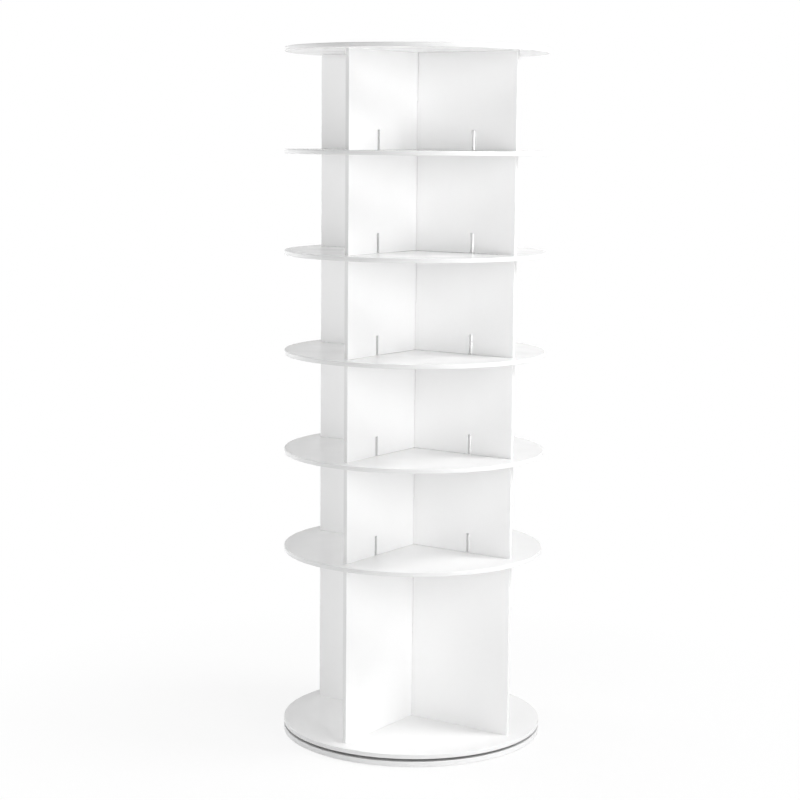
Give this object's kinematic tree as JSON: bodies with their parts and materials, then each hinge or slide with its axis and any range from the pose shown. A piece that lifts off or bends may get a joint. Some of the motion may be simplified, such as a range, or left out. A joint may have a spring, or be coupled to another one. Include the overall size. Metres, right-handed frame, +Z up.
{
  "type": "rotating shoe tower",
  "caption": "Free-standing tower of round boards that turns on a flat ball race, with crossing dividers that make open compartments for shoes and a taller tier for boots.",
  "frame": {"origin": "on the floor, at the centre of the tower, under the axis it turns about", "axes": "+Z up along the axis it turns about; +X and +Y along the divider boards at rest"},
  "size_m": [0.5999, 0.6, 1.5852],
  "materials": {
    "white_lacquered_board": "satin white lacquer on MDF",
    "swivel_ring_metal": "turned",
    "ball_steel": "polished",
    "cage_plastic": "black",
    "zinc_screw": "bright zinc",
    "cap_plastic": "white",
    "foot_pad_rubber": "matte"
  },
  "bodies": {
    "base": {"base_disc": "white_lacquered_board", "base_pads": "foot_pad_rubber", "swivel_outer_ring": "swivel_ring_metal", "swivel_outer_ring_screws": "zinc_screw"},
    "ball_cage": {"swivel_balls": "ball_steel", "swivel_ball_cage": "cage_plastic"},
    "tower": {"swivel_inner_ring": "swivel_ring_metal", "swivel_inner_ring_screws": "zinc_screw", "turntable_disc": "white_lacquered_board", "turntable_board_screws": "zinc_screw", "boot_tier_board_x": "white_lacquered_board", "boot_tier_board_y": "white_lacquered_board", "shelf_1": "white_lacquered_board", "shelf_1_board_screws": "zinc_screw", "shelf_1_clamp_screws": "zinc_screw", "shoe_tier_1_board_x": "white_lacquered_board", "shoe_tier_1_board_y": "white_lacquered_board", "shelf_2": "white_lacquered_board", "shelf_2_board_screws": "zinc_screw", "shelf_2_clamp_screws": "zinc_screw", "shoe_tier_2_board_x": "white_lacquered_board", "shoe_tier_2_board_y": "white_lacquered_board", "shelf_3": "white_lacquered_board", "shelf_3_board_screws": "zinc_screw", "shelf_3_clamp_screws": "zinc_screw", "shoe_tier_3_board_x": "white_lacquered_board", "shoe_tier_3_board_y": "white_lacquered_board", "shelf_4": "white_lacquered_board", "shelf_4_board_screws": "zinc_screw", "shelf_4_clamp_screws": "zinc_screw", "shoe_tier_4_board_x": "white_lacquered_board", "shoe_tier_4_board_y": "white_lacquered_board", "shelf_5": "white_lacquered_board", "shelf_5_board_screws": "zinc_screw", "shelf_5_clamp_screws": "zinc_screw", "shoe_tier_5_board_x": "white_lacquered_board", "shoe_tier_5_board_y": "white_lacquered_board", "top_disc": "white_lacquered_board", "top_disc_screws": "zinc_screw", "top_screw_caps": "cap_plastic"}
  },
  "joints": [
    {"name": "tower_spin", "type": "hinge", "parent": "base", "child": "tower", "pos_m": [0, 0, 0.017], "axis": [0, 0, 1], "continuous": true},
    {"name": "ball_cage_spin", "type": "hinge", "parent": "base", "child": "ball_cage", "pos_m": [0, 0, 0.017], "axis": [0, 0, 1], "continuous": true}
  ],
  "couplings": [
    {"joint": "ball_cage_spin", "follows": "tower_spin", "ratio": 0.4926}
  ]
}
